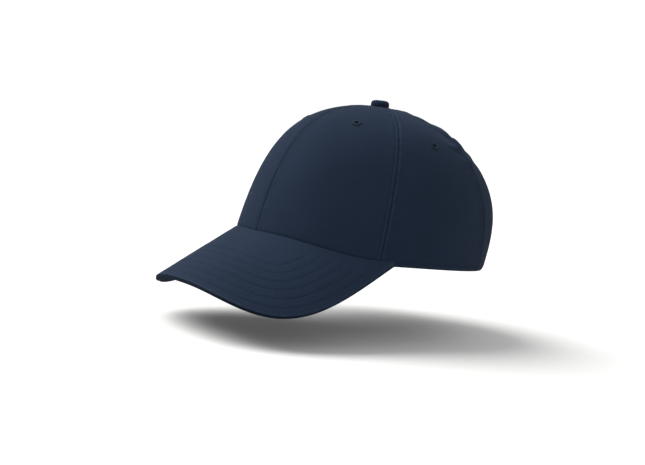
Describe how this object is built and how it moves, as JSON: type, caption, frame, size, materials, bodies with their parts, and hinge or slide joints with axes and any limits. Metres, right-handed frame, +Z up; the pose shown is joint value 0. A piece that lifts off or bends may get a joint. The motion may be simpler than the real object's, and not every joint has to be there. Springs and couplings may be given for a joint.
{
  "type": "baseball cap",
  "caption": "Cloth cap of stitched panels with a stiff curved visor, a covered button on top and a buckled strap across the opening at the back.",
  "frame": {"origin": "middle of the head opening, level with the lowest point of the crown's back edge", "axes": "+Z up through the crown, -Y out through the visor, +X towards the wearer's left"},
  "size_m": [0.18, 0.2792, 0.1573],
  "materials": {
    "shell_cloth": "brushed cotton twill, dark navy",
    "lining_cloth": "plain cotton, dark navy",
    "thread": "embroidery thread, dark navy",
    "stiffener": "stiffened open-weave cloth",
    "foam": "soft foam tape",
    "label_cloth": "woven satin tape, blank",
    "board": "moulded polyethylene sheet",
    "button_metal": "stamped, satin",
    "buckle_metal": "antique brass plate, satin"
  },
  "bodies": {
    "crown": {"front_panel_left": "shell_cloth", "front_panel_right": "shell_cloth", "side_panel_left": "shell_cloth", "side_panel_right": "shell_cloth", "back_panel_left": "shell_cloth", "back_panel_right": "shell_cloth", "front_stiffener_left": "stiffener", "front_stiffener_right": "stiffener", "seam_tape_centre": "lining_cloth", "seam_tape_left_front": "lining_cloth", "seam_tape_right_front": "lining_cloth", "opening_binding": "shell_cloth", "sweatband_cover": "lining_cloth", "sweatband_padding": "foam", "size_label": "label_cloth", "visor_top_cover": "shell_cloth", "visor_board": "board", "visor_under_cover": "shell_cloth", "visor_sandwich_piping": "shell_cloth", "eyelet_front_left": "thread", "eyelet_front_right": "thread", "eyelet_side_left": "thread", "eyelet_side_right": "thread", "eyelet_back_left": "thread", "eyelet_back_right": "thread", "button_cover": "shell_cloth", "button_shell": "button_metal", "button_post": "button_metal", "button_washer": "button_metal", "strap_short": "shell_cloth", "buckle_frame": "buckle_metal", "buckle_pin": "buckle_metal"},
    "strap": {"strap_long": "shell_cloth"},
    "lever": {"buckle_lever": "buckle_metal"}
  },
  "joints": [
    {"name": "strap_adjust", "type": "hinge", "parent": "crown", "child": "strap", "pos_m": [0, 0.03021, 0.014], "axis": [0, 0, 1], "range_deg": [-12, 12]},
    {"name": "lever_open", "type": "hinge", "parent": "crown", "child": "lever", "pos_m": [0.00207, 0.10483, 0.00371], "axis": [0.0063, 0.2253, 0.9743], "range_deg": [0, 110]}
  ]
}
